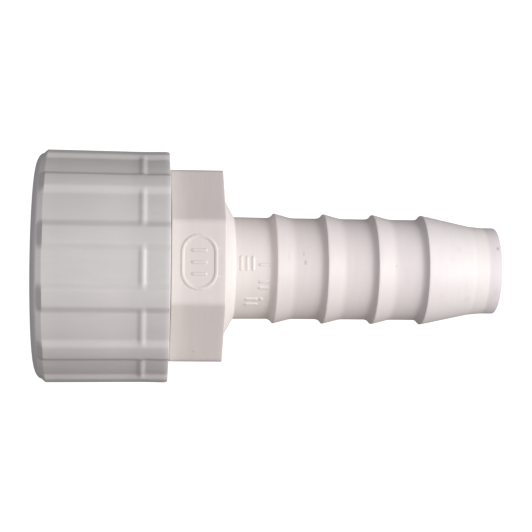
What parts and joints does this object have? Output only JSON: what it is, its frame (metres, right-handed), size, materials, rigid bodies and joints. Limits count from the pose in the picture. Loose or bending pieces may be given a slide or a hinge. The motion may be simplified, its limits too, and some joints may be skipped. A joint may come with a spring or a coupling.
{
  "type": "swivel hose tail fitting",
  "caption": "Straight plastic hose adapter: a barbed hose tail with an octagonal wrench collar and a free-turning ribbed union nut with internal pipe thread.",
  "frame": {"origin": "on the fitting's axis, at the centre of its bounding box, half way between nut mouth and hose end", "axes": "+X along the fitting's axis towards the hose end, +Z square to a wrench flat, fitting lying on its side"},
  "size_m": [0.0712, 0.0358, 0.0358],
  "materials": {
    "nut_pvc": "light grey-white PVC, satin as moulded",
    "tail_pvc": "warm white PVC, satin as moulded",
    "washer_rubber": "black moulded rubber, matt"
  },
  "bodies": {
    "tail": {"hose_tail": "tail_pvc", "swivel_sleeve": "tail_pvc"},
    "washer": {"sealing_washer": "washer_rubber"},
    "nut": {"swivel_nut": "nut_pvc"}
  },
  "joints": [
    {"name": "nut_float", "type": "slide", "parent": "tail", "child": "washer", "axis": [-1, 0, 0], "range_m": [0, 0.0006]},
    {"name": "nut_spin", "type": "hinge", "parent": "washer", "child": "nut", "pos_m": [-0.02555, 0, 0], "axis": [-1, 0, 0], "continuous": true}
  ]
}
